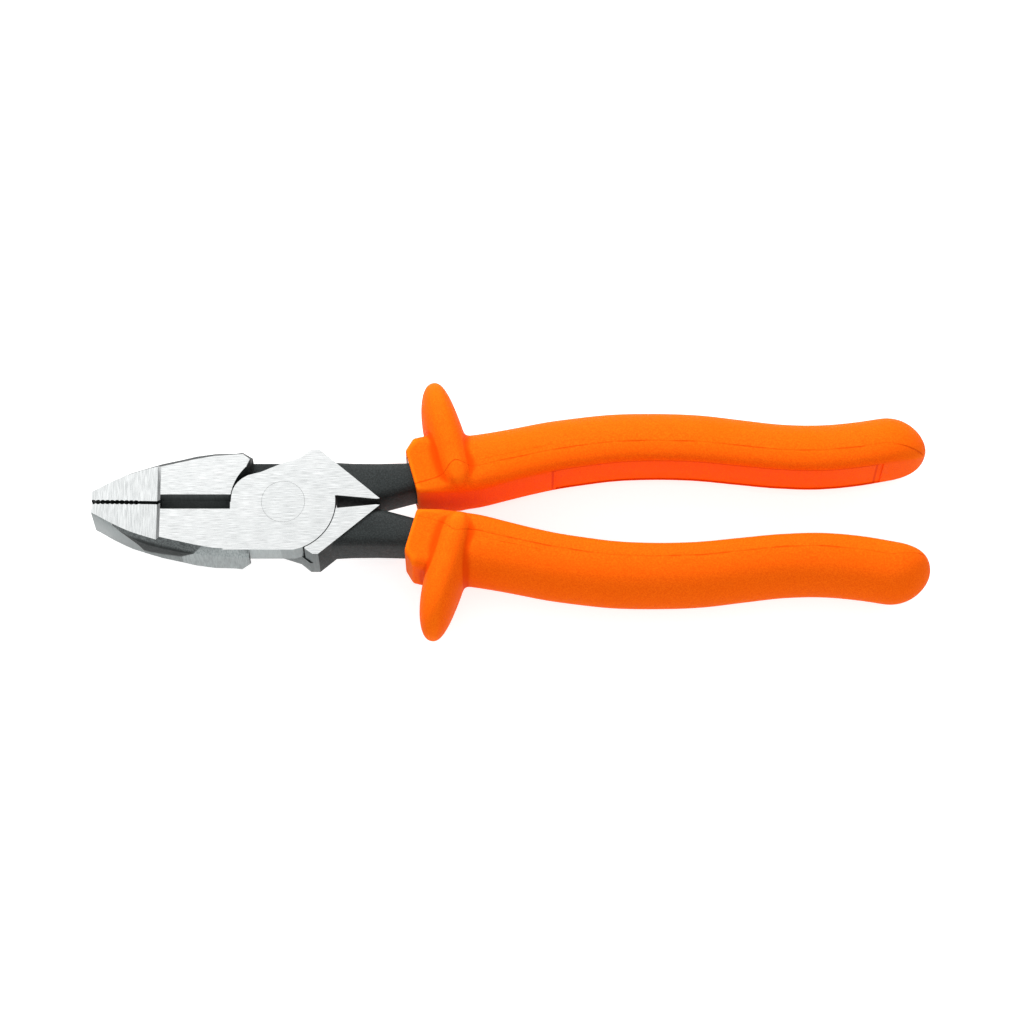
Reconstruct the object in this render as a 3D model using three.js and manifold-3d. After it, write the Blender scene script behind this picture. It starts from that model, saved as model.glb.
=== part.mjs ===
// Insulated lineman pliers, millimetres, +Z up.
// The pivot axis is the Z axis, the nose points to -X and the handles to +X.
// z = 0 is the ground face of the head that lies downward.
// The two forgings are the same piece: one is the other turned half round about X.
import * as THREE from "three";
import { mergeVertices } from "three/addons/utils/BufferGeometryUtils.js";
import Module from "manifold-3d";

const wasm = await Module();
wasm.setup();

// Head
const HEAD_HALF = 8; // half the thickness over the ground faces
const PART_GAP = 0.1; // from the closed parting plane to each knife
const LAYER_GAP = 0.15; // from the mid-plane to each cheek
const DISC_R = 15.0; // round end of a cheek
const SEAT_R = 15.28; // round seat that a cheek turns in
const NECK_HALF = 14.65; // half-width of the neck between jaw and joint
const SHOULDER_X = -9.5; // where the jaw's side ends
const SHOULDER_HALF = 16.25;
const FACES_PAST = 1; // how far a cutter runs past the ground faces

// Jaws: [x, half-width at the mid-plane, half-width at the face, face height over the mid-plane, side height]
const NOSE_X = -55.1;
const STEP_X = -35.3; // rear end of the nose, where the ground face steps up
const JAW_STATIONS = [
  [NOSE_X, 3.4, 3.2, 7.55, 7.0],
  [-53.6, 4.3, 4.0, 7.6, 6.7],
  [-50, 6.6, 6.0, 7.55, 6.0],
  [-47, 8.2, 7.5, 7.45, 5.8],
  [-44, 9.8, 8.8, 7.3, 5.2],
  [-41, 11.1, 9.8, 7.15, 4.2],
  [-38.4, 12.0, 10.6, 7.05, 4.1],
  [-36.3, 12.55, 11.2, 6.9, 4.3],
  [STEP_X, 12.85, 10.75, HEAD_HALF, 4.4],
  [-29.7, 14.15, 12.05, HEAD_HALF, 4.3],
  [-25.4, 14.95, 13.05, HEAD_HALF, 5.0],
  [-20, 15.6, 14.05, HEAD_HALF, 5.3],
  [-14, 15.95, 14.5, HEAD_HALF, 4.8],
  [SHOULDER_X, SHOULDER_HALF, NECK_HALF, HEAD_HALF, 5.5],
];
// Corner of the jaw's end that the other cheek passes: along the jaw's side and face, below the mid-plane
const JAW_END_CORNER = { outer: [-12.5, -15.1], inner: [-10.15, -13.3] };
const TEETH = 10;
const TOOTH_PITCH = 1.36;
const TOOTH_R = 0.97;
const TOOTH_CENTRE_Y = 0.31;
const TOOTH_CREST = 0.38; // from the parting plane to a tooth's crest
const TEETH_END_X = -41.6;
const RELIEF_DEPTH = 0.5; // of the plain stretch between teeth and knife
const RELIEF_RUN = 0.6; // length of the slope down to it
const TROUGH_HALF = 2.2; // open sides of the cutter, down to the bevels of the knife
const TROUGH_END_X = -15.2;
const TROUGH_END_X_BELOW = -14;
const BEVEL_TOP = 2.25;

// Cheek outline, from its round end to the rear point
const CHEEK_FRONT_X = -17; // inside the jaw
const ROUND_END_DEG = 167;
const CHEEK_HOLLOW = [
  [-13.6, 6.4, -10.4, 8.0],
  [-8.6, 8.6, -6.6, 9.05],
]; // curves: control point, end point
const CHEEK_SLOPE = [
  [-0.4, 11.8],
  [4.8, 13.5],
  [7.7, 15.9],
];
const REAR_POINT = [
  [10.35, 15.9],
  [27.8, 1.0],
  [26.8, 0.85],
  [15.6, 1.95],
];
const REAR_ROUND_DEG = 7.3; // where the round side starts again behind the parting slot
// The rear point in the other layer, beside the seat
const REAR_SIDE = [
  [6.4, 14.3],
  [8.65, 15.9],
];
const REAR_SIDE_DEG = 65;
const REAR_SIDE_TOP = 1;
// What the other cheek needs beside its seat
const JAW_END_OUTLINE = [
  [-10.8, -10.9],
  [-9.9, -12.9],
  [-9.3, -18],
  [0, -18],
  [0, -10.9],
];

// Joint
const RIVET_R = 5;
const RIVET_HEAD_R = 6.2;
const RIVET_HEAD_DEPTH = 1.2;
const RUNNING_CLEARANCE = 0.06;
const ROUND_SEGMENTS = 72;

// Tang: [x, centre y, width, half-thickness, corner radius]
const TANG_STATIONS = [
  [12, 8.0, 9.8, 7.4, 2.0],
  [20, 7.15, 10.9, 7.5, 2.6],
  [27, 6.85, 11.5, 7.5, 2.8],
  [38.3, 8.55, 8.7, 7.4, 2.8],
  [56.8, 13.2, 8.4, 7.0, 2.4],
  [77, 17.9, 8.0, 6.4, 2.0],
  [105.9, 20.8, 7.6, 5.8, 1.5],
  [131.8, 19.1, 7.2, 5.4, 1.5],
  [154.9, 17.6, 6.8, 5.0, 1.5],
  [168, 18.9, 6.2, 4.5, 1.5],
];

const CORNER_STEPS = 4;

// Grip
const INNER_LAYER = 0.8;
const INNER_LAYER_EXTRA = 1.0; // more of it on the outer side
const MOULD_GAP = 0.15;
const LINED_TANG = [6.7, 12.6, 7.5, 2.8]; // at the mouth: centre y, width, half-thickness, corner radius
const LINED_FROM_X = 25;
const SLEEVE_RECESS = 0.3; // of the inner layer behind the mouth
const GRIP_ANGLE = THREE.MathUtils.degToRad(15.5); // of the collar's axis
const MOUTH = new THREE.Vector2(36.6, 9.6); // centre of the mouth
// Collar: [distance along its axis, inner side, outer side, half-thickness, inner corner, outer corner]
const COLLAR_STATIONS = [
  [0, -7.3, 6.0, 9.8, 1.2, 1.6],
  [3.2, -8.2, 9.2, 10.0, 1.6, 2.4],
  [6.2, -9.0, 9.3, 10.2, 2.0, 3.2],
  [12, -10.1, 8.6, 10.6, 3.0, 6.0],
  [18, -10.9, 7.9, 11.0, 4.2, 9.5],
];
// Body: [x, inner side y, outer side y]
const BODY_STATIONS = [
  [62.6, 5.6, 24.2],
  [68.4, 7.15, 25.3],
  [77, 9.2, 27.0],
  [85.7, 10.7, 28.2],
  [94.3, 11.9, 29.1],
  [105.9, 12.5, 29.4],
  [120.3, 12.1, 28.9],
  [131.8, 10.9, 27.5],
  [143.4, 9.8, 26.1],
  [154.9, 9.5, 25.8],
  [166.4, 10.55, 26.85],
  [174.1, 11.9, 28.1],
];
const GRIP_HALF = 11; // half-thickness of the body, and radius of its outer side
const BODY_INNER_CORNER = new THREE.Vector2(5.4, 3.5);
const CAP_LENGTH = 12;
const CAP_RINGS = [0.3, 0.55, 0.75, 0.9, 0.975];
const CAP_DROP = 1.6; // how far the end turns inward

// Guard, in the collar's axes
const GUARD_S = 12.6;
const GUARD_CENTRE_U = 4;
const GUARD_OUT = 22.3;
const GUARD_IN = 14;
const GUARD_HALF = 13.6;
const GUARD_HALF_THICK = 5.8;
const GUARD_LEAN = 0.004;
const GUARD_LEAN_FROM = 12;
const GUARD_SLICES = [-1, -0.97, -0.85, -0.6, -0.25, 0.25, 0.6, 0.85, 0.97, 1];
const GUARD_AROUND = 32;
const GUARD_ROUNDING = 2.3; // exponents: of the rim, and of the leaf's outline outward and inward
const GUARD_OUTLINE_OUT = 2.2;
const GUARD_OUTLINE_IN = 5;
const GUARD_RIM_LEFT = 0.02; // share of the leaf left at each end slice

function solidOf(geometry) {
  const bare = geometry.index ? geometry : mergeVertices(geometry);
  bare.deleteAttribute("normal");
  bare.deleteAttribute("uv");
  const merged = mergeVertices(bare, 1e-4);
  return new wasm.Manifold(
    new wasm.Mesh({
      numProp: 3,
      vertProperties: merged.attributes.position.array,
      triVerts: new Uint32Array(merged.index.array),
    }),
  );
}

function meshOf(name, solid, material) {
  const { vertProperties, triVerts } = solid.getMesh();
  const geometry = new THREE.BufferGeometry();
  geometry.setAttribute("position", new THREE.BufferAttribute(vertProperties, 3));
  geometry.setIndex(new THREE.BufferAttribute(triVerts, 1));
  const flat = geometry.toNonIndexed();
  flat.computeVertexNormals();
  const mesh = new THREE.Mesh(flat, material);
  mesh.name = name;
  return mesh;
}

// A plan outline, extruded from z0 to z1.
function prism(shape, z0, z1, curveSegments = 24) {
  const geometry = new THREE.ExtrudeGeometry(shape, { depth: z1 - z0, bevelEnabled: false, curveSegments });
  geometry.translate(0, 0, z0);
  return solidOf(geometry);
}

function polygon(points) {
  return new THREE.Shape(points.map(([x, y]) => new THREE.Vector2(x, y)));
}

// A skin over closed rings with the same number of points, closed by a fan at each end.
function loft(rings) {
  const size = rings[0].length;
  const centres = [rings[0], rings[rings.length - 1]].map((ring) =>
    ring.reduce((sum, p) => sum.add(p), new THREE.Vector3()).divideScalar(size),
  );
  const points = [...rings.flat(), ...centres];
  const index = [];
  for (let r = 0; r + 1 < rings.length; r++) {
    for (let i = 0; i < size; i++) {
      const j = (i + 1) % size;
      const [a, b, c, d] = [r * size + i, r * size + j, (r + 1) * size + j, (r + 1) * size + i];
      index.push(a, b, c, a, c, d);
    }
  }
  const last = (rings.length - 1) * size;
  for (let i = 0; i < size; i++) {
    const j = (i + 1) % size;
    index.push(points.length - 2, j, i);
    index.push(points.length - 1, last + i, last + j);
  }
  const geometry = new THREE.BufferGeometry().setFromPoints(points);
  geometry.setIndex(index);
  return solidOf(geometry);
}

// A half of the box on one side of a plane, to cut a facet: the normal points to the side that goes.
function beyondPlane(point, normal) {
  const size = 60;
  const box = new THREE.BoxGeometry(size, size, size);
  const up = new THREE.Vector3(0, 0, 1);
  const turn = new THREE.Quaternion().setFromUnitVectors(up, normal.clone().normalize());
  box.translate(0, 0, size / 2);
  box.applyQuaternion(turn);
  box.translate(point.x, point.y, point.z);
  return solidOf(box);
}

// ---- Forging, with its mid-plane at z = 0: lower jaw, upper cheek, tang towards +Y ----

function jawRing([x, mid, face, top, side]) {
  const section = [
    [-PART_GAP, -top],
    [-PART_GAP, top],
    [-face, top],
    [-mid, side],
    [-mid, -side],
    [-face, -top],
  ];
  return section.map(([y, z]) => new THREE.Vector3(x, y, z));
}

// The cheek with the neck and the ground rear point, as far as the layer of this half goes.
function cheekOutline() {
  const shape = new THREE.Shape();
  const neckEnd = -Math.asin(NECK_HALF / DISC_R);
  shape.moveTo(CHEEK_FRONT_X, -PART_GAP);
  shape.lineTo(-DISC_R, -PART_GAP);
  shape.absarc(0, 0, DISC_R, Math.PI, THREE.MathUtils.degToRad(ROUND_END_DEG), true);
  CHEEK_HOLLOW.forEach((curve) => shape.quadraticCurveTo(...curve));
  [...CHEEK_SLOPE, ...REAR_POINT].forEach((point) => shape.lineTo(...point));
  shape.absarc(0, 0, DISC_R, THREE.MathUtils.degToRad(REAR_ROUND_DEG), neckEnd, true);
  shape.lineTo(SHOULDER_X, -NECK_HALF);
  shape.lineTo(CHEEK_FRONT_X, -NECK_HALF);
  return shape;
}

// The rear point in the other half's layer, behind the round seat.
function rearPointOutline() {
  const shape = polygon([...REAR_SIDE, ...REAR_POINT]);
  const from = THREE.MathUtils.degToRad(REAR_ROUND_DEG);
  shape.absarc(0, 0, SEAT_R, from, THREE.MathUtils.degToRad(REAR_SIDE_DEG), false);
  return shape;
}

// What the other half's cheek needs in its own layer beside its round seat: the end of the jaw.
function jawEndCutter() {
  return prism(polygon(JAW_END_OUTLINE), -HEAD_HALF - FACES_PAST, LAYER_GAP);
}

function tangRing([x, y, width, half, corner], grow = 0) {
  const ring = [];
  const radius = corner + grow;
  const corners = [
    [1, 1],
    [-1, 1],
    [-1, -1],
    [1, -1],
  ];
  corners.forEach(([sy, sz], quarter) => {
    for (let i = 0; i <= CORNER_STEPS; i++) {
      const angle = ((quarter + i / CORNER_STEPS) * Math.PI) / 2;
      ring.push(
        new THREE.Vector3(
          x,
          y + sy * (width / 2 - corner) + radius * Math.cos(angle),
          sz * (half - corner) + radius * Math.sin(angle),
        ),
      );
    }
  });
  return ring;
}

function teethCutter() {
  const shape = new THREE.Shape();
  const first = TEETH_END_X - TEETH * TOOTH_PITCH;
  const cut = Math.acos(TOOTH_PITCH / 2 / TOOTH_R);
  shape.moveTo(TEETH_END_X, 1);
  shape.lineTo(first, 1);
  for (let i = 0; i < TEETH; i++) {
    const x = first + (i + 0.5) * TOOTH_PITCH;
    shape.absarc(x, TOOTH_CENTRE_Y, TOOTH_R, Math.PI + cut, 2 * Math.PI - cut, false);
  }
  return prism(shape, -HEAD_HALF - FACES_PAST, HEAD_HALF + FACES_PAST, 5);
}

function reliefCutter() {
  const outline = [
    [TEETH_END_X - 0.05, 1],
    [TEETH_END_X - 0.05, -TOOTH_CREST],
    [TEETH_END_X + RELIEF_RUN, -RELIEF_DEPTH],
    [STEP_X + 0.2, -RELIEF_DEPTH],
    [STEP_X + 0.2, 1],
  ];
  return prism(polygon(outline), -HEAD_HALF - FACES_PAST, HEAD_HALF + FACES_PAST);
}

// The open side of the cutter above (1) or below (-1) the knife's edge, as far as endX.
function troughCutter(side, endX) {
  const section = [
    [2, HEAD_HALF + FACES_PAST],
    [-TROUGH_HALF, HEAD_HALF + FACES_PAST],
    [-TROUGH_HALF, BEVEL_TOP],
    [-PART_GAP, PART_GAP],
    [2, PART_GAP],
  ];
  const ring = (x) => section.map(([y, z]) => new THREE.Vector3(x, y, z * side));
  const rings = side > 0 ? [ring(STEP_X), ring(endX)] : [ring(endX), ring(STEP_X)];
  return loft(rings);
}

function revolve(profile) {
  const points = profile.map(([r, z]) => new THREE.Vector2(r, z));
  const geometry = new THREE.LatheGeometry(points, ROUND_SEGMENTS);
  geometry.rotateX(Math.PI / 2);
  return solidOf(geometry);
}

// A straight shank with a countersunk head flush with each face, or the bore for it.
// The bore runs past the faces.
function rivet(clearance, past) {
  const slope = (RIVET_HEAD_R - RIVET_R) / RIVET_HEAD_DEPTH;
  const end = HEAD_HALF + past;
  const headRadius = RIVET_HEAD_R + slope * past + clearance;
  return revolve([
    [0, -end],
    [headRadius, -end],
    [RIVET_R + clearance, -HEAD_HALF + RIVET_HEAD_DEPTH],
    [RIVET_R + clearance, HEAD_HALF - RIVET_HEAD_DEPTH],
    [headRadius, end],
    [0, end],
  ]);
}

function seatCutter() {
  const outline = new THREE.Shape();
  outline.absarc(0, 0, SEAT_R, 0, 2 * Math.PI, false);
  return prism(outline, -HEAD_HALF - FACES_PAST, LAYER_GAP, ROUND_SEGMENTS);
}

function forging() {
  const outer = new THREE.Vector3(...JAW_END_CORNER.outer, -HEAD_HALF);
  const inner = new THREE.Vector3(...JAW_END_CORNER.inner, -HEAD_HALF);
  const middle = new THREE.Vector3(SHOULDER_X, -SHOULDER_HALF, 0);
  const facet = new THREE.Vector3().crossVectors(inner.clone().sub(outer), middle.clone().sub(outer));
  const cornerCutter = beyondPlane(outer, facet).intersect(jawEndLayer());
  return loft(JAW_STATIONS.map(jawRing))
    .add(prism(rearPointOutline(), -HEAD_HALF, REAR_SIDE_TOP))
    .add(loft(TANG_STATIONS.map((station) => tangRing(station))))
    .subtract(seatCutter())
    .subtract(jawEndCutter())
    .subtract(cornerCutter)
    .add(prism(cheekOutline(), LAYER_GAP, HEAD_HALF))
    .subtract(teethCutter())
    .subtract(reliefCutter())
    .subtract(troughCutter(1, TROUGH_END_X))
    .subtract(troughCutter(-1, TROUGH_END_X_BELOW))
    .subtract(rivet(RUNNING_CLEARANCE, FACES_PAST));
}

// The space below the mid-plane, where the corner facet of the jaw's end lies.
function jawEndLayer() {
  const around = [
    [-20, -20],
    [0, -20],
    [0, -5],
    [-20, -5],
  ];
  return prism(polygon(around), -HEAD_HALF - FACES_PAST, 0);
}

// ---- Insulation of the +Y handle, with the mid-plane at z = 0 ----

// One ring of a grip across a line at an angle to X: flat inner side, elliptical corners of the sizes given.
function gripRing({ centre, angle, width, half, innerCorner, outerCorner, scale = 1 }) {
  const steps = 5;
  const across = new THREE.Vector2(-Math.sin(angle), Math.cos(angle));
  const quarters = [
    { u: width / 2 - outerCorner.x, z: half - outerCorner.y, size: outerCorner },
    { u: -width / 2 + innerCorner.x, z: half - innerCorner.y, size: innerCorner },
    { u: -width / 2 + innerCorner.x, z: innerCorner.y - half, size: innerCorner },
    { u: width / 2 - outerCorner.x, z: outerCorner.y - half, size: outerCorner },
  ];
  const ring = [];
  quarters.forEach(({ u, z, size }, quarter) => {
    for (let i = 0; i <= steps; i++) {
      const turn = ((quarter + i / steps) * Math.PI) / 2;
      const atU = (u + size.x * Math.cos(turn)) * scale;
      const atZ = (z + size.y * Math.sin(turn)) * scale;
      ring.push(new THREE.Vector3(centre.x + across.x * atU, centre.y + across.y * atU, atZ));
    }
  });
  return ring;
}

const collarAxis = new THREE.Vector2(Math.cos(GRIP_ANGLE), Math.sin(GRIP_ANGLE));
const collarAcross = new THREE.Vector2(-Math.sin(GRIP_ANGLE), Math.cos(GRIP_ANGLE));

// A point in the collar's axes: s along it from the mouth, u across it.
function collarPoint(s, u) {
  return MOUTH.clone().addScaledVector(collarAxis, s).addScaledVector(collarAcross, u);
}

function collarRing([s, inner, outer, half, innerCorner, outerCorner]) {
  return gripRing({
    centre: collarPoint(s, (inner + outer) / 2),
    angle: GRIP_ANGLE,
    width: outer - inner,
    half,
    innerCorner: new THREE.Vector2(innerCorner, innerCorner),
    outerCorner: new THREE.Vector2(outerCorner, outerCorner),
  });
}

function bodyRings() {
  const centres = BODY_STATIONS.map(([x, inner, outer]) => new THREE.Vector2(x, (inner + outer) / 2));
  const [collarLength, collarInner, collarOuter] = COLLAR_STATIONS[COLLAR_STATIONS.length - 1];
  const collarEnd = collarPoint(collarLength, (collarInner + collarOuter) / 2);
  const angles = centres.map((centre, i) => {
    const before = i ? centres[i - 1] : collarEnd;
    const after = centres[i + 1] ?? centre;
    return after.clone().sub(before).angle();
  });
  const rings = BODY_STATIONS.map(([, inner, outer], i) => {
    const width = (outer - inner) * Math.cos(angles[i]);
    return bodySection(centres[i], angles[i], width);
  });
  const last = BODY_STATIONS.length - 1;
  const lastWidth = BODY_STATIONS[last][2] - BODY_STATIONS[last][1];
  for (const t of CAP_RINGS) {
    const centre = new THREE.Vector2(
      centres[last].x + CAP_LENGTH * t,
      centres[last].y + Math.sin(angles[last]) * CAP_LENGTH * t * (1 - t) - CAP_DROP * t * t,
    );
    const section = bodySection(centre, angles[last] * (1 - t), lastWidth, Math.sqrt(1 - t * t));
    rings.push(section);
  }
  return rings;
}

function bodySection(centre, angle, width, scale = 1) {
  return gripRing({
    centre,
    angle,
    width,
    half: GRIP_HALF,
    innerCorner: BODY_INNER_CORNER,
    outerCorner: new THREE.Vector2(Math.min(GRIP_HALF, width - BODY_INNER_CORNER.x), GRIP_HALF),
    scale,
  });
}

// The finger guard: a leaf across the grip, thick in the middle, thin at its rim and bent back at its tip.
function guard() {
  const rings = GUARD_SLICES.map((slice) => {
    const rim = (1 - Math.abs(slice) ** GUARD_ROUNDING) ** (1 / GUARD_ROUNDING) + GUARD_RIM_LEFT;
    const turn = (i) => (i * 2 * Math.PI) / GUARD_AROUND;
    return Array.from({ length: GUARD_AROUND }, (_, i) => guardPoint(slice, rim, turn(i)));
  });
  return loft(rings);
}

function guardPoint(slice, rim, turn) {
  const outward = Math.cos(turn) > 0;
  const power = 2 / (outward ? GUARD_OUTLINE_OUT : GUARD_OUTLINE_IN);
  const reach = (outward ? GUARD_OUT : GUARD_IN) * Math.sign(Math.cos(turn));
  const u = GUARD_CENTRE_U + rim * reach * Math.abs(Math.cos(turn)) ** power;
  const z = rim * GUARD_HALF * Math.sign(Math.sin(turn)) * Math.abs(Math.sin(turn)) ** power;
  const lean = GUARD_LEAN * Math.max(0, u - GUARD_LEAN_FROM) ** 2;
  const at = collarPoint(GUARD_S + lean + slice * GUARD_HALF_THICK, u);
  return new THREE.Vector3(at.x, at.y, z);
}

// The tang grown on every side, and by an extra amount on its outer side.
// It is the outside of the inner layer, or a cavity, and starts at frontX.
function grownTang(grow, outerExtra, frontX) {
  const end = TANG_STATIONS[TANG_STATIONS.length - 1];
  const stations = [
    [frontX, ...LINED_TANG],
    ...TANG_STATIONS.filter(([x]) => x > LINED_FROM_X),
    [end[0] + grow, ...end.slice(1)],
  ];
  return loft(
    stations.map(([x, y, width, half, corner]) =>
      tangRing([x, y + outerExtra / 2, width + outerExtra, half, corner], grow),
    ),
  );
}

// Everything in front of the mouth, moved back by the given distance.
function frontOfMouth(back) {
  const at = collarPoint(back, 0);
  const forward = new THREE.Vector3(-collarAxis.x, -collarAxis.y, 0);
  return beyondPlane(new THREE.Vector3(at.x, at.y, 0), forward);
}

function innerSleeve() {
  return grownTang(MOULD_GAP + INNER_LAYER, INNER_LAYER_EXTRA, 24)
    .subtract(grownTang(MOULD_GAP, 0, 22))
    .subtract(frontOfMouth(SLEEVE_RECESS));
}

function grip() {
  return loft([...COLLAR_STATIONS.map(collarRing), ...bodyRings()])
    .add(guard())
    .subtract(grownTang(2 * MOULD_GAP + INNER_LAYER, INNER_LAYER_EXTRA, 20));
}

const steel = new THREE.MeshStandardMaterial({ color: 0xc9ccce, roughness: 0.35, metalness: 1 });
const rivetSteel = new THREE.MeshStandardMaterial({ color: 0xd4d6d8, roughness: 0.3, metalness: 1 });
const whitePlastic = new THREE.MeshStandardMaterial({ color: 0xf2ece6, roughness: 0.6, metalness: 0 });
const orangePlastic = new THREE.MeshStandardMaterial({ color: 0xff6a10, roughness: 0.55, metalness: 0 });

const pieces = [
  ["forging", forging(), steel],
  ["inner_sleeve", innerSleeve(), whitePlastic],
  ["grip", grip(), orangePlastic],
];

function half(names) {
  const set = new THREE.Group();
  pieces.forEach(([, solid, material], i) => set.add(meshOf(names[i], solid, material)));
  return set;
}

const lowerJawHalf = half(["lower_jaw_forging", "upper_inner_sleeve", "upper_grip"]);
const upperJawHalf = half(["upper_jaw_forging", "lower_inner_sleeve", "lower_grip"]);
upperJawHalf.rotation.x = Math.PI;

const pliers = new THREE.Group();
pliers.position.z = HEAD_HALF;
pliers.add(lowerJawHalf, upperJawHalf, meshOf("pivot_rivet", rivet(0, 0), rivetSteel));

export default pliers;
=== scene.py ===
"""Insulated lineman pliers: the looks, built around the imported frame. Metres, +Z up, nose to -X, pivot on the Z axis."""

import math

import bmesh
import bpy
import numpy as np
from mathutils import Matrix, Vector
from mathutils.bvhtree import BVHTree
from mathutils.kdtree import KDTree


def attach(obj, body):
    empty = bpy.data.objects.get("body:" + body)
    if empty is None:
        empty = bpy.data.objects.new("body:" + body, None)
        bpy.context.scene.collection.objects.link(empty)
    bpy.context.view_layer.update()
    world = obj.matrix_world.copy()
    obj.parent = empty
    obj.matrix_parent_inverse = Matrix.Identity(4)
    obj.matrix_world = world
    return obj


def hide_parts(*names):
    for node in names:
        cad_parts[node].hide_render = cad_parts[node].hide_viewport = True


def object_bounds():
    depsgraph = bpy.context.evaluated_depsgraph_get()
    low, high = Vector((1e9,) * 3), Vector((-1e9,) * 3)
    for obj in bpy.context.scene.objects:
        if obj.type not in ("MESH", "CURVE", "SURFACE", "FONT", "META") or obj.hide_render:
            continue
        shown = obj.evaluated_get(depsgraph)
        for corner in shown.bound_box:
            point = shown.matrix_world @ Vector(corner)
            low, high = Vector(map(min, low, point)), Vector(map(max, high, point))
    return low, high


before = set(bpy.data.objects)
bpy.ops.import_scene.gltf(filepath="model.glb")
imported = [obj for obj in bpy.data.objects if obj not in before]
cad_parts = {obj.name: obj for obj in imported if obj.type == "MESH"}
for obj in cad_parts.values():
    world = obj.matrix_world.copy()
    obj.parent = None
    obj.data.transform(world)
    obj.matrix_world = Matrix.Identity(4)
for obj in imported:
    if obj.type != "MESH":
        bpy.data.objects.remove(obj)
cad_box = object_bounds()

MM = 0.001
MID_Z = 8.0  # mid-plane of the head over the frame's origin, mm

# ---------------------------------------------------------------- sizes of the grip, in mm, mid-plane at z = 0

COLLAR_ANGLE = math.radians(15.5)
MOUTH = (36.6, 9.6)
# distance along the collar's axis, inner side, outer side, half-thickness, inner corner, outer corner
COLLAR = [
    (0, -7.3, 6.0, 9.8, 1.2, 1.6),
    (3.2, -8.2, 9.2, 10.0, 1.6, 2.4),
    (6.2, -9.0, 9.3, 10.2, 2.0, 3.2),
    (12, -10.1, 8.6, 10.6, 3.0, 6.0),
    (18, -10.9, 7.9, 11.0, 4.2, 9.5),
]
# x, inner side y, outer side y
BODY = [
    (62.6, 5.6, 24.2),
    (68.4, 7.15, 25.3),
    (77, 9.2, 27.0),
    (85.7, 10.7, 28.2),
    (94.3, 11.9, 29.1),
    (105.9, 12.5, 29.4),
    (120.3, 12.1, 28.9),
    (131.8, 10.9, 27.5),
    (143.4, 9.8, 26.1),
    (154.9, 9.5, 25.8),
    (166.4, 10.55, 26.85),
    (174.1, 11.9, 28.1),
]
GRIP_HALF = 11.0
INNER_CORNER = (5.4, 3.5)
CAP_LENGTH = 12.0
CAP_DROP = 1.6
RING_STEP = 1.2
RING_QUARTER = 18

GUARD_S = 12.6
GUARD_CENTRE_U = 4.0
GUARD_OUT = 22.3
GUARD_IN = 14.0
GUARD_HALF = 13.6
GUARD_ROUNDING = 2.3
GUARD_HALF_THICK = 5.8
GUARD_LEAN = 0.004
GUARD_LEAN_FROM = 12.0

# x, centre y, width, half-thickness, corner radius
TANG = [
    (20, 6.7, 12.6, 7.5, 2.8),
    (27, 6.85, 11.5, 7.5, 2.8),
    (38.3, 8.55, 8.7, 7.4, 2.8),
    (56.8, 13.2, 8.4, 7.0, 2.4),
    (77, 17.9, 8.0, 6.4, 2.0),
    (105.9, 20.8, 7.6, 5.8, 1.5),
    (131.8, 19.1, 7.2, 5.4, 1.5),
    (154.9, 17.6, 6.8, 5.0, 1.5),
    (168, 18.9, 6.2, 4.5, 1.5),
]
MOULD_GAP = 0.15
INNER_LAYER = 0.8
INNER_LAYER_EXTRA = 1.0

PANEL_FROM, PANEL_TO = 77.6, 171.3
PANEL_HALF = 7.6
PANEL_DEPTH = 0.4
SEAM_COLLAR_U = -5.0
SEAM_FROM_OUTER = ([62.6, 97, 180], [12.7, 11.8, 11.0])  # x, distance from the outer side
SEAM_BOW = 2.6
SEAM_BOW_LENGTH = 3.2
TWIN_SEAM_FADE = [54, 58, 72, 79]
HOLLOW_ROUNDS = 30
GRIP_VOXEL = 0.42

# ---------------------------------------------------------------- scene helpers


def link(name, mesh, body, node):
    piece = bpy.data.objects.new(name, mesh)
    bpy.context.scene.collection.objects.link(piece)
    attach(piece, body)
    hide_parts(node)
    return piece


def evaluated_mesh(obj):
    graph = bpy.context.evaluated_depsgraph_get()
    return bpy.data.meshes.new_from_object(obj.evaluated_get(graph))


def scratch(mesh):
    obj = bpy.data.objects.new("scratch", mesh)
    bpy.context.scene.collection.objects.link(obj)
    return obj


def drop(obj):
    mesh = obj.data
    bpy.data.objects.remove(obj)
    bpy.data.meshes.remove(mesh)


# ---------------------------------------------------------------- shader helpers


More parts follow.
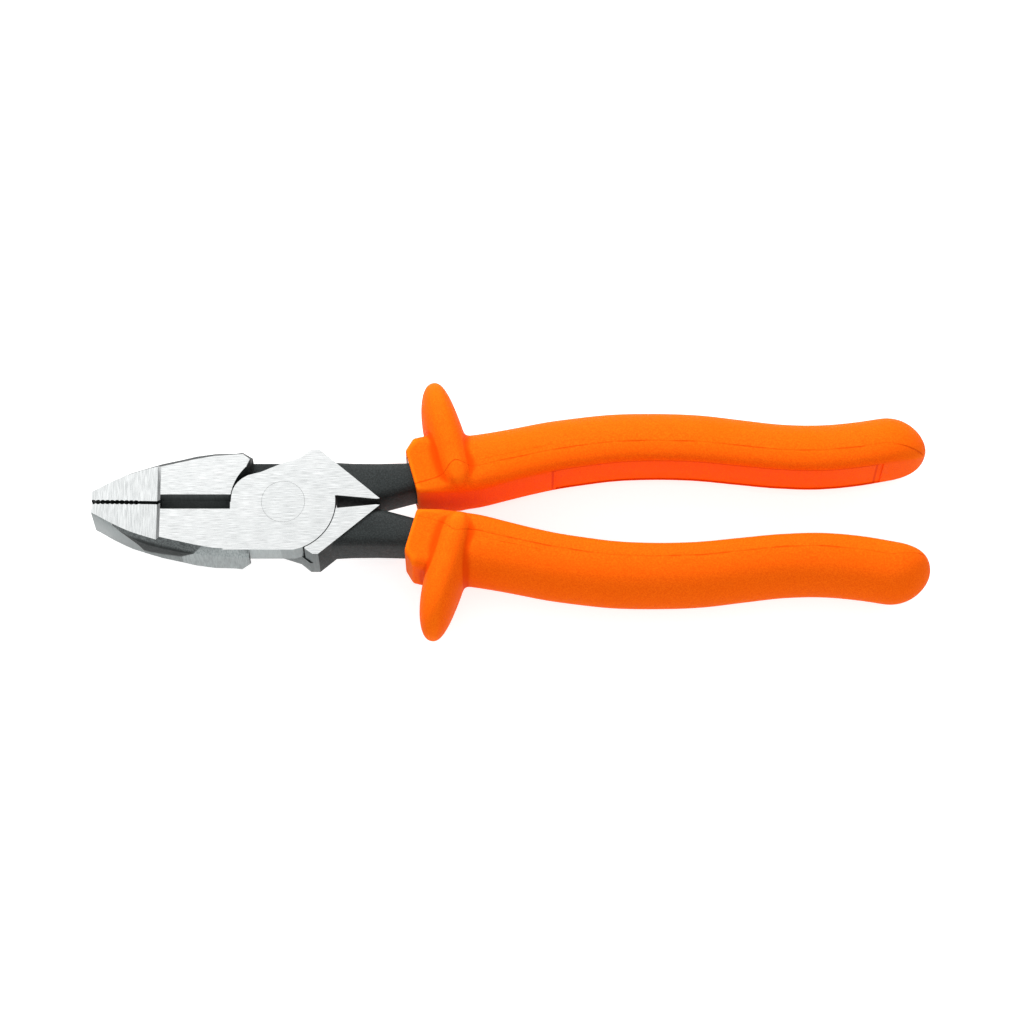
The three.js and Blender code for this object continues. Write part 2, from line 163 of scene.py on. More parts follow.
class Nodes:
    """A material's node tree, with short calls for the nodes used here."""

    def __init__(self, name):
        self.material = bpy.data.materials.new(name)
        self.material.use_nodes = True
        self.tree = self.material.node_tree
        self.shader = self.tree.nodes["Principled BSDF"]

    def add(self, kind, **settings):
        node = self.tree.nodes.new(kind)
        for key, value in settings.items():
            setattr(node, key, value)
        return node

    def join(self, source, target):
        self.tree.links.new(source, target)

    def put(self, socket, value):
        if isinstance(value, bpy.types.NodeSocket):
            self.join(value, socket)
        else:
            socket.default_value = value

    def math(self, operation, a, b=0.0, clamp=False):
        node = self.add("ShaderNodeMath", operation=operation, use_clamp=clamp)
        self.put(node.inputs[0], a)
        self.put(node.inputs[1], b)
        return node.outputs[0]

    def mix(self, factor, a, b):
        node = self.add("ShaderNodeMix", data_type="RGBA")
        self.put(node.inputs["Factor"], factor)
        self.put(node.inputs[6], a)
        self.put(node.inputs[7], b)
        return node.outputs[2]

    def blend(self, factor, a, b):
        node = self.add("ShaderNodeMix", data_type="FLOAT")
        self.put(node.inputs["Factor"], factor)
        self.put(node.inputs[2], a)
        self.put(node.inputs[3], b)
        return node.outputs[0]

    def place(self, scale=(1, 1, 1)):
        """Object coordinates in millimetres, stretched by scale."""
        mapping = self.add("ShaderNodeMapping")
        mapping.inputs["Scale"].default_value = [1000 * s for s in scale]
        self.join(self.add("ShaderNodeTexCoord").outputs["Object"], mapping.inputs["Vector"])
        return mapping.outputs["Vector"]

    def noise(self, place, scale, detail=4.0, roughness=0.55):
        node = self.add("ShaderNodeTexNoise")
        node.inputs["Scale"].default_value = scale
        node.inputs["Detail"].default_value = detail
        node.inputs["Roughness"].default_value = roughness
        self.join(place, node.inputs["Vector"])
        return node.outputs["Fac"]

    def ramp(self, value, low, high, out_low=0.0, out_high=1.0, smooth=True):
        node = self.add("ShaderNodeMapRange")
        node.interpolation_type = "SMOOTHSTEP" if smooth else "LINEAR"
        for socket, given in zip(node.inputs, (value, low, high, out_low, out_high)):
            self.put(socket, given)
        return node.outputs["Result"]

    def bump(self, height, distance, strength=1.0, normal=None):
        node = self.add("ShaderNodeBump")
        node.inputs["Distance"].default_value = distance * MM
        node.inputs["Strength"].default_value = strength
        self.join(height, node.inputs["Height"])
        if normal is not None:
            self.join(normal, node.inputs["Normal"])
        return node.outputs["Normal"]

    def attribute(self, name):
        return self.add("ShaderNodeAttribute", attribute_name=name).outputs["Fac"]

    def set(self, **values):
        names = {"base": "Base Color", "metal": "Metallic", "rough": "Roughness", "normal": "Normal"}
        for key, value in values.items():
            self.put(self.shader.inputs[names.get(key, key)], value)


def grey(value, tint=(1, 1, 1)):
    return (value * tint[0], value * tint[1], value * tint[2], 1)


def steel_material():
    """Bright ground faces, coarser ground sides and black oxide, told apart by the mesh's attributes."""
    n = Nodes("forged_steel")
    place = n.place()
    along = n.noise(n.place((0.16, 5.0, 5.0)), 1.5, 4, 0.6)
    across = n.noise(n.place((4.2, 0.16, 0.8)), 1.5, 4, 0.6)
    side_grain = n.noise(n.place((2.6, 2.6, 0.22)), 1.0, 4, 0.62)
    speckle = n.noise(place, 2.4, 5, 0.7)
    cloud = n.noise(place, 0.09, 3)
    forged = n.noise(place, 0.9, 6, 0.68)

    cross = n.attribute("cross")
    grain = n.blend(cross, along, across)
    bright = n.mix(n.ramp(grain, 0.34, 0.68), grey(0.5, (0.97, 1, 1)), grey(0.66, (0.98, 1, 1)))
    bright = n.mix(n.ramp(cloud, 0.35, 0.7, 0.0, 0.25), bright, grey(0.68))
    bright = n.mix(n.math("MULTIPLY", cross, 0.35), bright, grey(0.48, (0.96, 1, 1)))
    side = n.mix(n.ramp(side_grain, 0.3, 0.7), grey(0.21, (0.9, 1, 1)), grey(0.4, (0.92, 1, 1)))
    side = n.mix(n.ramp(speckle, 0.5, 0.8, 0, 0.6), side, grey(0.18, (0.9, 1, 1)))
    black = n.mix(n.ramp(speckle, 0.35, 0.75), grey(0.014, (0.88, 1.05, 1.05)), grey(0.042, (0.88, 1.05, 1.05)))

    # The jaw's side: ground at the nose and at the shoulder, forged between them, with a thin bright edge at the nose's
    # ground that is a painted highlight, and a lighter band below the forged core that is a painted reflection.
    split = n.add("ShaderNodeSeparateXYZ")
    n.join(n.add("ShaderNodeAttribute", attribute_name="half_place").outputs["Vector"], split.inputs[0])
    x, z = split.outputs["X"], split.outputs["Z"]
    on_chamfer, on_jaw_side = n.attribute("chamfer"), n.attribute("jaw_side")
    upper = n.ramp(z, -0.1, 0.1)
    reach = n.math("POWER", n.ramp(z, -4.2, 6.9, smooth=False), 2.2)
    nose_end = n.math("SUBTRACT", NOSE_GROUND_END, n.math("MULTIPLY", reach, NOSE_GROUND_SWEEP))
    nose_end = n.blend(n.math("MULTIPLY", on_chamfer, n.math("SUBTRACT", 1.0, upper)), nose_end, LOWER_NOSE_END)
    nose = n.ramp(n.math("SUBTRACT", nose_end, x), -0.12, 0.12)
    rise = n.math("ADD", n.ramp(x, -40.5, -29.4, -2.6, 0.5, False), n.ramp(x, -29.4, -22.8, 0.0, 7.8, False))
    below = n.math("SUBTRACT", rise, z)
    shoulder = n.math("MULTIPLY", n.ramp(below, -0.2, 0.2), n.ramp(x, -30.5, -28.6))
    # Painted reflection: a lighter band of ground-side colour below the forged core, where the rounded side would
    # mirror the floor.
    painted_reflection_band = n.math("MULTIPLY", n.ramp(below, -1.0, 0.5), 0.62)
    wall = n.math("MAXIMUM", nose, n.math("MAXIMUM", shoulder, painted_reflection_band))
    rough_skin = n.ramp(n.math("ADD", speckle, n.math("MULTIPLY", forged, 0.6)), 0.6, 0.95, 0.16, 0.5)
    rough_skin = n.math("MULTIPLY", rough_skin, n.ramp(z, 4.7, 6.1))
    chamfer = n.math("MAXIMUM", nose, n.math("MULTIPLY", upper, n.math("MAXIMUM", shoulder, rough_skin)))
    jaw_side = n.blend(on_chamfer, wall, chamfer)
    other = n.math("MULTIPLY", n.attribute("side"), n.ramp(x, -0.7, 0.1, 1.0, 0.8))
    finish = n.blend(on_jaw_side, other, jaw_side)
    # Painted highlight: a thin bright line along the edge of the nose's ground, mixed towards light grey.
    painted_edge_glint = n.math("MULTIPLY", nose, n.math("SUBTRACT", 1.0, nose))
    painted_edge_glint = n.math("MULTIPLY", n.math("MULTIPLY", painted_edge_glint, 3.0), on_jaw_side, clamp=True)
    nose_tone = n.math("MULTIPLY", n.math("MULTIPLY", nose, on_jaw_side), 0.5)

    ground = n.attribute("ground")
    side = n.mix(nose_tone, side, grey(0.15, (0.9, 1, 1)))
    side = n.mix(n.math("MULTIPLY", n.math("SUBTRACT", 1.0, on_jaw_side), 0.3), side, grey(0.56, (0.92, 1, 1)))
    forged_side = n.mix(painted_edge_glint, n.mix(finish, black, side), grey(0.55))
    n.set(base=n.mix(ground, forged_side, bright))
    forged_rough = n.blend(finish, n.ramp(forged, 0.3, 0.7, 0.5, 0.62), n.ramp(side_grain, 0.3, 0.7, 0.36, 0.5))
    n.set(rough=n.blend(ground, forged_rough, n.ramp(grain, 0.3, 0.7, 0.24, 0.34)))
    n.set(metal=n.math("MAXIMUM", ground, finish))
    n.shader.inputs["Specular IOR Level"].default_value = 0.12
    coarse = n.math("ADD", forged, n.math("MULTIPLY", speckle, 0.5))
    height = n.blend(ground, n.math("MULTIPLY", coarse, n.blend(finish, 1.0, 0.35)), n.math("MULTIPLY", grain, 0.1))
    n.set(normal=n.bump(height, 0.055))
    return n.material


def rivet_material():
    n = Nodes("rivet_steel")
    along = n.noise(n.place((0.16, 5.0, 5.0)), 1.5, 4, 0.6)
    n.set(base=n.mix(n.ramp(along, 0.34, 0.68), grey(0.5, (0.97, 1, 1)), grey(0.66, (0.98, 1, 1))))
    n.set(rough=n.ramp(along, 0.3, 0.7, 0.24, 0.34), metal=1.0, normal=n.bump(along, 0.0055))
    return n.material


def orange_material():
    n = Nodes("outer_insulation")
    place = n.place()
    grain = n.noise(place, 2.4, 4, 0.7)
    cloud = n.noise(place, 0.05, 3)
    base = n.mix(n.ramp(grain, 0.34, 0.68), (0.84, 0.097, 0.003, 1), (0.96, 0.15, 0.005, 1))
    base = n.mix(n.ramp(cloud, 0.4, 0.7, 0, 0.22), base, (0.9, 0.11, 0.001, 1))
    shade_and_highlight_lift = n.attribute("hollow")
    # Painted shade: the hollows darken towards deep red. Painted highlight: the ridges lighten towards pale orange.
    base = n.mix(n.ramp(shade_and_highlight_lift, -0.01, 0.14, 0, 0.75), base, (0.72, 0.045, 0.001, 1))
    base = n.mix(n.ramp(shade_and_highlight_lift, -0.3, -0.1, 0.5, 0), base, (1.0, 0.2, 0.006, 1))
    split = n.add("ShaderNodeSeparateXYZ")
    n.join(n.add("ShaderNodeAttribute", attribute_name="half_place").outputs["Vector"], split.inputs[0])
    x, z = split.outputs["X"], split.outputs["Z"]
    past_end = n.math("MAXIMUM", n.math("SUBTRACT", PANEL_FROM, x), n.math("SUBTRACT", x, PANEL_TO))
    past_side = n.math("SUBTRACT", n.math("ABSOLUTE", z), PANEL_HALF)
    from_rim = n.math("ABSOLUTE", n.math("MAXIMUM", past_end, past_side))
    # Painted shade: a dark line along the rim of the recessed panel on the grip's inner side.
    rim = n.math("MULTIPLY", n.ramp(from_rim, 0.1, 0.55, 0.6, 0), n.attribute("inner_side"))
    base = n.mix(rim, base, (0.62, 0.03, 0.001, 1))
    line = n.attribute("seam")
    seam = n.ramp(n.math("ABSOLUTE", line), 0.1, 0.3, 1.0, 0.0)
    twin = n.ramp(n.math("ABSOLUTE", n.math("SUBTRACT", line, 1.7)), 0.06, 0.26, 0.6, 0.0)
    seam = n.math("MAXIMUM", seam, n.math("MULTIPLY", twin, n.attribute("twin_seam")))
    broken = n.ramp(n.noise(n.place((0.12, 0.4, 0.4)), 1.0, 3), 0.42, 0.6)
    seam = n.math("MULTIPLY", seam, n.blend(0.65, 1.0, broken))
    base = n.mix(n.math("MULTIPLY", seam, 0.6), base, (0.6, 0.045, 0.001, 1))
    n.set(base=base, rough=n.ramp(grain, 0.3, 0.7, 0.38, 0.52))
    height = n.math("SUBTRACT", n.math("MULTIPLY", grain, 0.06), n.math("MULTIPLY", seam, 0.1))
    n.set(normal=n.bump(height, 1.0))
    n.shader.inputs["Specular IOR Level"].default_value = 0.006
    n.shader.inputs["Specular Tint"].default_value = (1, 0.5, 0.15, 1)
    return n.material


def white_material():
    n = Nodes("inner_insulation")
    grain = n.noise(n.place(), 1.6, 4)
    n.set(base=n.mix(grain, (0.86, 0.79, 0.72, 1), (0.96, 0.92, 0.88, 1)), rough=n.ramp(grain, 0.3, 0.7, 0.5, 0.65))
    n.set(normal=n.bump(grain, 0.02))
    return n.material


def floor_material():
    n = Nodes("studio_floor")
    cloud = n.noise(n.place((0.05, 0.05, 0.05)), 0.2, 2)
    n.set(base=n.mix(cloud, grey(0.5), grey(0.54)), rough=0.7)
    n.shader.inputs["Emission Color"].default_value = (1, 1, 1, 1)
    n.shader.inputs["Emission Strength"].default_value = 0.75
    return n.material


# ---------------------------------------------------------------- forgings

NOSE_GROUND_END = -40.5
NOSE_GROUND_SWEEP = 8.6
LOWER_NOSE_END = -50.0
STEP_X = -35.3
SHOULDER_X = -9.5
TEETH_END_X = -41.6
TROUGH_END_X = -15.2
TROUGH_HALF = 2.2
RIVET_HEAD_R = 6.2
EDGE_BEVEL = 0.14
TANG_LINE = ((10.35, 15.9), (27.8, 1.0))  # edge of the ground rear point towards the tang


def behind_rear_point(x, y):
    (x0, y0), (x1, y1) = TANG_LINE
    return x > x0 + (y0 - y) * (x1 - x0) / (y0 - y1) + 0.06 or x > x1 + 0.3


def finish_of(centre, normal):
    """Shares of a forging's face: ground, cross-grained, jaw's side, chamfer, and ground by side; half's own axes, mm."""
    x, y, z = centre
    high = abs(z)
    on_nose = x < STEP_X + 0.1
    if abs(x - STEP_X) < 0.32 and abs(normal.x) > 0.3 and high > 6.5:
        return {"side": 0.1}
    # The trough's walls get a lighter share of the ground-side colour, painted light that lifts them out of the shade
    # they sit in.
    if STEP_X < x < TROUGH_END_X + 0.2 and -TROUGH_HALF - 0.1 < y < 0.1 and high < 7.7:
        return {"side": 0.22 if abs(normal.z) > 0.4 else 0.5}
    if abs(normal.z) > 0.6 and not behind_rear_point(x, y) and (high > 7.7 or (on_nose and high > 6.5)):
        return {"ground": 1, "cross": on_nose}
    if normal.y < -0.35 and y < -2.5 and x < SHOULDER_X + 0.1:
        return {"jaw_side": 1, "chamfer": abs(normal.z) > 0.2}
    if x < -54.5 and normal.x < -0.5:
        return {"side": 1}
    if y < -11 and normal.y < -0.3 and x < 6:
        return {"side": 1}
    if y > 7.5 and normal.y > 0.3 and x < 12.5:
        return {"side": 0.55 if x > -8 else 0.1}
    return {}


def worn_edge(edge):
    """Whether an edge is broken: all but the teeth's and the rivet bore's."""
    x, y, _ = (edge.verts[0].co + edge.verts[1].co) / 2
    at_teeth = x < TEETH_END_X + 0.3 and y > -1.4
    at_bore = math.hypot(x, y) < RIVET_HEAD_R + 0.4
    return not at_teeth and not at_bore


def level_ground_faces(mesh):
    """Shades the ground faces as the planes that they are, whatever the bevels beside them did to their corners."""
    normals = np.empty(len(mesh.loops) * 3, np.float32)
    mesh.corner_normals.foreach_get("vector", normals)
    normals = normals.reshape(-1, 3)
    ground = mesh.attributes["ground"].data
    for polygon in mesh.polygons:
        if ground[polygon.index].value and abs(polygon.normal.z) > 0.93:
            normals[polygon.loop_indices] = (0, 0, math.copysign(1, polygon.normal.z))
    mesh.normals_split_custom_set(normals.tolist())


def forging(node, body, turned):
    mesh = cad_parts[node].data.copy()
    half_turn = Matrix.Rotation(math.pi, 4, "X") if turned else Matrix.Identity(4)
    to_half = Matrix.Scale(1 / MM, 4) @ half_turn @ Matrix.Translation((0, 0, -MID_Z * MM))
    mesh.transform(to_half)
    bm = bmesh.new()
    bm.from_mesh(mesh)
    bmesh.ops.remove_doubles(bm, verts=bm.verts, dist=0.002)
    bmesh.ops.dissolve_degenerate(bm, edges=bm.edges, dist=0.01)
    bmesh.ops.dissolve_limit(bm, angle_limit=math.radians(0.05), verts=bm.verts, edges=bm.edges)
    sharp = [e for e in bm.edges if e.is_manifold and e.calc_face_angle(0) > math.radians(24) and worn_edge(e)]
    bmesh.ops.bevel(
        bm,
        geom=sharp,
        offset=EDGE_BEVEL,
        offset_type="OFFSET",
        segments=2,
        profile=0.6,
        affect="EDGES",
        clamp_overlap=True,
        loop_slide=False,
    )
    bm.normal_update()
    layers = {name: bm.faces.layers.float.new(name) for name in ("ground", "cross", "jaw_side", "chamfer", "side")}
    for face in bm.faces:
        face.smooth = abs(face.normal.z) < 0.995
        for name, share in finish_of(face.calc_center_median(), face.normal).items():
            face[layers[name]] = share
    bmesh.ops.triangulate(bm, faces=[f for f in bm.faces if len(f.verts) > 4])
    bm.to_mesh(mesh)
    bm.free()
    place = mesh.attributes.new("half_place", "FLOAT_VECTOR", "POINT")
    place.data.foreach_set("vector", positions(mesh).astype(np.float32).ravel())
    mesh.transform(to_half.inverted())
    mesh.set_sharp_from_angle(angle=math.radians(34))
    level_ground_faces(mesh)
    mesh.materials.clear()
    mesh.materials.append(STEEL)
    link(node + "_skin", mesh, body, node)


# ---------------------------------------------------------------- grips


def collar_point(s, u):
    along = (math.cos(COLLAR_ANGLE), math.sin(COLLAR_ANGLE))
    return (MOUTH[0] + s * along[0] - u * along[1], MOUTH[1] + s * along[1] + u * along[0])


def grip_stations():
    """Rows of x, y, angle, width, half-thickness, inner corner u and z, outer corner u and z."""
    rows = []
    for s, inner, outer, half, inner_corner, outer_corner in COLLAR:
        x, y = collar_point(s, (inner + outer) / 2)
        rows.append([x, y, COLLAR_ANGLE, outer - inner, half, inner_corner, inner_corner, outer_corner, outer_corner])
    centres = [(x, (inner + outer) / 2) for x, inner, outer in BODY]
    for i, (x, inner, outer) in enumerate(BODY):
        before = centres[i - 1] if i else collar_point(18, -1.5)
        after = centres[min(i + 1, len(BODY) - 1)]
        angle = math.atan2(after[1] - before[1], after[0] - before[0])
        width = (outer - inner) * math.cos(angle)
        outer_corner = min(GRIP_HALF, width - INNER_CORNER[0])
        rows.append([*centres[i], angle, width, GRIP_HALF, *INNER_CORNER, outer_corner, GRIP_HALF])
    return np.array(rows)


def smooth_stations(rows, first_smooth=2):
    """The stations resampled every RING_STEP along the grip: straight through the collar, curved from there on."""
    reach = np.concatenate([[0], np.cumsum(np.hypot(*np.diff(rows[:, :2], axis=0).T))])
    slopes = np.gradient(rows, reach, axis=0)
    out = []
    for i in range(len(rows) - 1):
        span = reach[i + 1] - reach[i]
        steps = max(2, round(span / RING_STEP))
        for k in range(steps):
            t = k / steps
            straight = rows[i] * (1 - t) + rows[i + 1] * t
            if i < first_smooth:
                out.append(straight)
                continue
            h00, h10 = 2 * t**3 - 3 * t**2 + 1, t**3 - 2 * t**2 + t
            h01, h11 = -2 * t**3 + 3 * t**2, t**3 - t**2
            out.append(h00 * rows[i] + h10 * span * slopes[i] + h01 * rows[i + 1] + h11 * span * slopes[i + 1])
    out.append(rows[-1])
    return out


def grip_ring(row, scale=1.0):
    x, y, angle, width, half, inner_u, inner_z, outer_u, outer_z = row
    across = (-math.sin(angle), math.cos(angle))
    quarters = [
        (width / 2 - outer_u, half - outer_z, outer_u, outer_z),
        (-width / 2 + inner_u, half - inner_z, inner_u, inner_z),
        (-width / 2 + inner_u, inner_z - half, inner_u, inner_z),
        (width / 2 - outer_u, outer_z - half, outer_u, outer_z),
    ]
    ring = []
    for quarter, (u, z, size_u, size_z) in enumerate(quarters):
        for i in range(RING_QUARTER + 1):
            turn = (quarter + i / RING_QUARTER) * math.pi / 2
            at_u = (u + size_u * math.cos(turn)) * scale
            ring.append((x + across[0] * at_u, y + across[1] * at_u, (z + size_z * math.sin(turn)) * scale))
    return ring


def cap_rows(last):
    for t in [math.sin(k * math.pi / 2 / 12) for k in range(1, 12)] + [0.998]:
        row = np.array(last)
        row[0] += CAP_LENGTH * t
        row[1] += math.sin(last[2]) * CAP_LENGTH * t * (1 - t) - CAP_DROP * t * t
        row[2] *= 1 - t
        yield row, math.sqrt(1 - t * t)


def loft(rings):
    """A closed mesh over rings with the same number of points, capped with one polygon at each end."""
    bm = bmesh.new()
    rows = [[bm.verts.new(p) for p in ring] for ring in rings]
    for a, b in zip(rows, rows[1:]):
        for i in range(len(a)):
            j = (i + 1) % len(a)
            bm.faces.new((a[i], a[j], b[j], b[i]))
    bm.faces.new(list(reversed(rows[0])))
    bm.faces.new(rows[-1])
    bmesh.ops.remove_doubles(bm, verts=bm.verts, dist=1e-5)
    bmesh.ops.recalc_face_normals(bm, faces=bm.faces)
    mesh = bpy.data.meshes.new("loft")
    bm.to_mesh(mesh)
    bm.free()
    return mesh


def guard_rings():
    rings = []
    for k in range(33):
        slice_at = -math.cos(k * math.pi / 32)
        rim = (1 - abs(slice_at) ** GUARD_ROUNDING) ** (1 / GUARD_ROUNDING) + 0.02
        ring = []
        for i in range(96):
            turn = i * math.tau / 96
            cos, sin = math.cos(turn), math.sin(turn)
            power = 2 / (2.2 if cos > 0 else 5)
            reach = (GUARD_OUT if cos > 0 else GUARD_IN) * math.copysign(abs(cos) ** power, cos)
            u = GUARD_CENTRE_U + rim * reach
            z = rim * GUARD_HALF * math.copysign(abs(sin) ** power, sin)
            lean = GUARD_LEAN * max(0.0, u - GUARD_LEAN_FROM) ** 2
            ring.append((*collar_point(GUARD_S + lean + slice_at * GUARD_HALF_THICK, u), z))
        rings.append(ring)
    return rings


def tang_rings(grow, extra):
    rings = []
    stations = [*TANG, (TANG[-1][0] + grow, *TANG[-1][1:])]
    for x, y, width, half, corner in stations:
        y, width = y + extra / 2, width + extra
        radius = corner + grow
        ring = []
        for quarter, (sy, sz) in enumerate([(1, 1), (-1, 1), (-1, -1), (1, -1)]):
            for i in range(5):
                turn = (quarter + i / 4) * math.pi / 2
                ring.append((
                    x,
                    y + sy * (width / 2 - corner) + radius * math.cos(turn),
                    sz * (half - corner) + radius * math.sin(turn),
                ))
        rings.append(ring)
    return rings


def positions(mesh):
    co = np.empty(len(mesh.vertices) * 3)
    mesh.vertices.foreach_get("co", co)
    return co.reshape(-1, 3)


def relax(mesh, weights, rounds):
    """Moves each vertex towards the mean of its neighbours, by its weight, a number of times."""
    co = positions(mesh)
    edges = np.empty(len(mesh.edges) * 2, int)
    mesh.edges.foreach_get("vertices", edges)
    edges = edges.reshape(-1, 2)
    count = np.bincount(edges.ravel(), minlength=len(co)).clip(1)[:, None]
    for _ in range(rounds):
        total = np.zeros_like(co)
        for axis in range(3):
            total[:, axis] += np.bincount(edges[:, 0], co[edges[:, 1], axis], len(co))
            total[:, axis] += np.bincount(edges[:, 1], co[edges[:, 0], axis], len(co))
        co += (total / count - co) * weights[:, None]
    mesh.vertices.foreach_set("co", co.ravel())
    mesh.update()


def smoothed_lift(mesh):
    """How far the surface smoothed around each point lies above it: positive in hollows, negative on ridges."""
    smooth = mesh.copy()
    relax(smooth, np.full(len(smooth.vertices), 0.5), HOLLOW_ROUNDS)
    normals = np.empty(len(mesh.vertices) * 3, np.float32)
    mesh.vertices.foreach_get("normal", normals)
    lift = ((positions(smooth) - positions(mesh)) * normals.reshape(-1, 3)).sum(axis=1)
    bpy.data.meshes.remove(smooth)
    return lift


def collar_coordinates(co):
    """Distance along the collar's axis from the mouth, and distance across it, of each point."""
    x, y = co[:, 0] - MOUTH[0], co[:, 1] - MOUTH[1]
    cos, sin = math.cos(COLLAR_ANGLE), math.sin(COLLAR_ANGLE)
    return x * cos + y * sin, y * cos - x * sin


def seam_offset(co):
    """Signed distance across the grip from its moulded parting line, which bows outward over the guard's ridge."""
    line = [collar_point(along, SEAM_COLLAR_U) for along in (0, 6, 12, 18)]
    line += [(x, outer - np.interp(x, *SEAM_FROM_OUTER)) for x, _, outer in BODY]
    line.append((BODY[-1][0] + CAP_LENGTH, line[-1][1] - CAP_DROP))
    seam_y = np.interp(co[:, 0], *np.array(line).T)
    s, _ = collar_coordinates(co)
    return co[:, 1] - seam_y - SEAM_BOW * np.exp(-(((s - GUARD_S) / SEAM_BOW_LENGTH) ** 2))


def inner_side(co):
    """1 on the grip's inner side, where its panel is, and 0 elsewhere."""
    inner = np.interp(co[:, 0], [row[0] for row in BODY], [row[1] for row in BODY])
    return (co[:, 1] - inner < 2.4).astype(np.float32)


def panel_cutter(rows):
    """A shallow slab along the inner side of the grip, for the recessed panel."""
    rings = []
    for row in rows:
        x, y, angle, width = row[:4]
        if not PANEL_FROM - 1 < x < PANEL_TO + 1:
            continue
        across = (-math.sin(angle), math.cos(angle))
        corners = []
        for u, z in [
            (-width / 2 + PANEL_DEPTH, -PANEL_HALF),
            (-width / 2 + PANEL_DEPTH, PANEL_HALF),
            (-width / 2 - 2, PANEL_HALF),
            (-width / 2 - 2, -PANEL_HALF),
        ]:
            corners.append((x + across[0] * u, y + across[1] * u, z))
        rings.append(corners)
    return loft(rings)


def cut(obj, cutter_mesh):
    cutter = scratch(cutter_mesh)
    boolean = obj.modifiers.new("cut", "BOOLEAN")
    boolean.operation = "DIFFERENCE"
    boolean.solver = "EXACT"
    boolean.object = cutter
    mesh = evaluated_mesh(obj)
    drop(cutter)
    return mesh


def grip_mesh():
    """The grip of the +Y handle, in mm, with the mid-plane at z = 0."""
    rows = smooth_stations(grip_stations())
    rings = [grip_ring(row) for row in rows]
    rings += [grip_ring(row, scale) for row, scale in cap_rows(rows[-1])]
    body = loft(rings)
    guard = loft(guard_rings())
    body_tree = BVHTree.FromPolygons([v.co for v in body.vertices], [p.vertices for p in body.polygons])
    guard_tree = BVHTree.FromPolygons([v.co for v in guard.vertices], [p.vertices for p in guard.polygons])
    bm = bmesh.new()
    bm.from_mesh(body)
    bm.from_mesh(guard)
    joined = bpy.data.meshes.new("joined")
    bm.to_mesh(joined)
    bm.free()
    obj = scratch(joined)
    remesh = obj.modifiers.new("remesh", "REMESH")
    remesh.mode = "VOXEL"
    remesh.voxel_size = GRIP_VOXEL
    remesh.adaptivity = 0
    mesh = evaluated_mesh(obj)
    drop(obj)

    co = positions(mesh)
    s, _ = collar_coordinates(co)
    relax(mesh, np.where(s < 6, 0.3, 0.5), 4)
    near = np.zeros(len(co))
    for i in np.nonzero((s > 2) & (s < 26))[0]:
        point = Vector(co[i])
        to_body = body_tree.find_nearest(point)[3]
        to_guard = guard_tree.find_nearest(point)[3]
        near[i] = max(0.0, 1 - max(to_body, to_guard) / 2.4)
    weights = 0.6 * near * np.clip((s - 2.5) / 2, 0, 1)
    relax(mesh, weights, 18)

    lift = smoothed_lift(mesh)
    tree = KDTree(len(lift))
    for i, point in enumerate(positions(mesh)):
        tree.insert(point, i)
    tree.balance()

    smooth_obj = scratch(mesh)
    cavity = loft(tang_rings(2 * MOULD_GAP + INNER_LAYER, INNER_LAYER_EXTRA))
    with_mouth = cut(smooth_obj, cavity)
    drop(smooth_obj)
    hollow = scratch(with_mouth)
    finished = cut(hollow, panel_cutter(rows))
    drop(hollow)

    seam = finished.attributes.new("seam", "FLOAT", "POINT")
    seam.data.foreach_set("value", seam_offset(positions(finished)).astype(np.float32))
    # The hollow attribute drives the orange's painted shade in the hollows and painted highlight on the ridges.
    hollow_depth = finished.attributes.new("hollow", "FLOAT", "POINT")
    nearest = [tree.find(point)[1] for point in positions(finished)]
    hollow_depth.data.foreach_set("value", lift[nearest].astype(np.float32))
    inner = finished.attributes.new("inner_side", "FLOAT", "POINT")
    inner.data.foreach_set("value", inner_side(positions(finished)))
    place = finished.attributes.new("half_place", "FLOAT_VECTOR", "POINT")
    place.data.foreach_set("vector", positions(finished).astype(np.float32).ravel())
    twin = finished.attributes.new("twin_seam", "FLOAT", "POINT")
    along = positions(finished)[:, 0]
    fade = np.interp(along, TWIN_SEAM_FADE, [0, 1, 1, 0])
    twin.data.foreach_set("value", fade.astype(np.float32))
    finished.set_sharp_from_angle(angle=math.radians(38))
    return finished


def place_half(mesh, turned):
    half_turn = Matrix.Rotation(math.pi, 4, "X") if turned else Matrix.Identity(4)
    mesh.transform(Matrix.Translation((0, 0, MID_Z * MM)) @ half_turn @ Matrix.Scale(MM, 4))


def grips():
    mesh = grip_mesh()
    mesh.materials.clear()
    mesh.materials.append(ORANGE)
    for node, body, turned in (
        ("upper_grip", "lower_jaw_half", False),
        ("lower_grip", "upper_jaw_half", True),
    ):
        copy = mesh.copy()
        place_half(copy, turned)
        link(node + "_skin", copy, body, node)


# ---------------------------------------------------------------- small CAD pieces that stay


def dress(node, material):
    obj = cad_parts[node]
    obj.data.materials.clear()
    obj.data.materials.append(material)
    return obj


# ---------------------------------------------------------------- floor, light and camera


def area_light(name, place, target, size, power, colour=(1, 1, 1)):
    data = bpy.data.lights.new(name, "AREA")
    data.shape = "RECTANGLE"
    data.size, data.size_y = size
    data.energy = power
    data.color = colour
    light = bpy.data.objects.new(name, data)
    light.location = place
    light.rotation_euler = (Vector(target) - Vector(place)).to_track_quat("-Z", "Y").to_euler()
    bpy.context.scene.collection.objects.link(light)


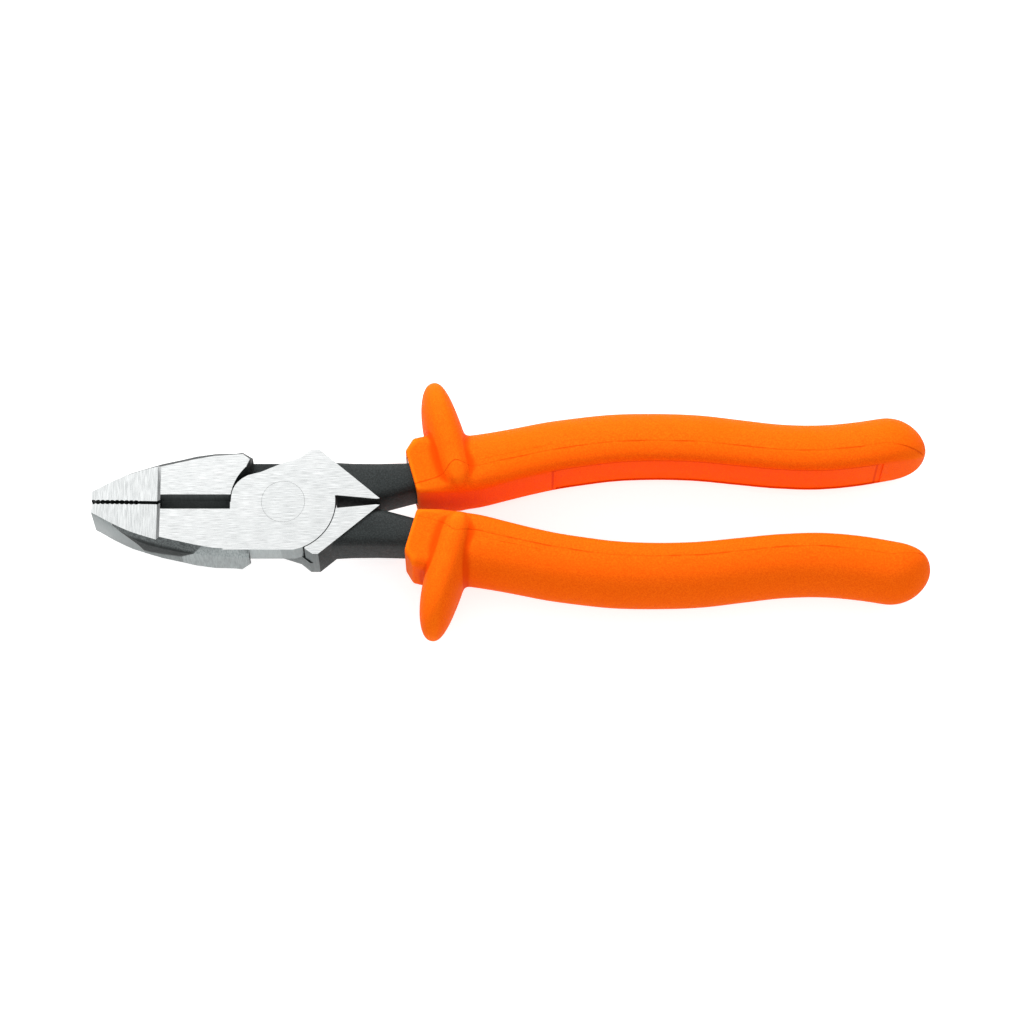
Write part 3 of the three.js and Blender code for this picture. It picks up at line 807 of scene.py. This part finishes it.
def studio():
    low = min(corner[2] for corner in cad_box)
    floor_mesh = bpy.data.meshes.new("floor")
    size = 3.0
    corners = [(-size, -size, low), (size, -size, low), (size, size, low), (-size, size, low)]
    floor_mesh.from_pydata(corners, [], [(0, 1, 2, 3)])
    floor_mesh.materials.append(floor_material())
    floor = bpy.data.objects.new("floor", floor_mesh)
    bpy.context.scene.collection.objects.link(floor)

    world = bpy.data.worlds.new("studio")
    world.use_nodes = True
    tree = world.node_tree
    direction = tree.nodes.new("ShaderNodeSeparateXYZ")
    tree.links.new(tree.nodes.new("ShaderNodeTexCoord").outputs["Generated"], direction.inputs[0])
    strength = tree.nodes.new("ShaderNodeMapRange")
    for socket, value in zip(list(strength.inputs)[1:5], (0.0, 0.9, 0.25, 1.15)):
        socket.default_value = value
    tree.links.new(direction.outputs["Z"], strength.inputs[0])
    background = tree.nodes["Background"]
    background.inputs["Color"].default_value = (1, 1, 1, 1)
    tree.links.new(strength.outputs["Result"], background.inputs["Strength"])
    bpy.context.scene.world = world
    area_light("key", (-0.3, 0.95, 0.8), (0.06, 0, 0), (0.5, 0.5), 17)
    bpy.context.scene.view_settings.view_transform = "Standard"


def camera():
    elevation = math.radians(70)
    target = Vector((0.0658, -0.0003, MID_Z * MM))
    width = 0.2962
    lens = 135
    distance = width * lens / 36
    data = bpy.data.cameras.new("camera")
    data.lens = lens
    data.sensor_width = 36
    data.clip_start = 0.05
    data.clip_end = 20
    obj = bpy.data.objects.new("camera", data)
    obj.location = target + Vector((0, -math.cos(elevation), math.sin(elevation))) * distance
    obj.rotation_euler = (math.pi / 2 - elevation, 0, 0)
    bpy.context.scene.collection.objects.link(obj)
    bpy.context.scene.camera = obj


STEEL = steel_material()
ORANGE = orange_material()
camera()
studio()
forging("lower_jaw_forging", "lower_jaw_half", False)
forging("upper_jaw_forging", "upper_jaw_half", True)
grips()
dress("pivot_rivet", rivet_material())
white = white_material()
dress("upper_inner_sleeve", white)
dress("lower_inner_sleeve", white)
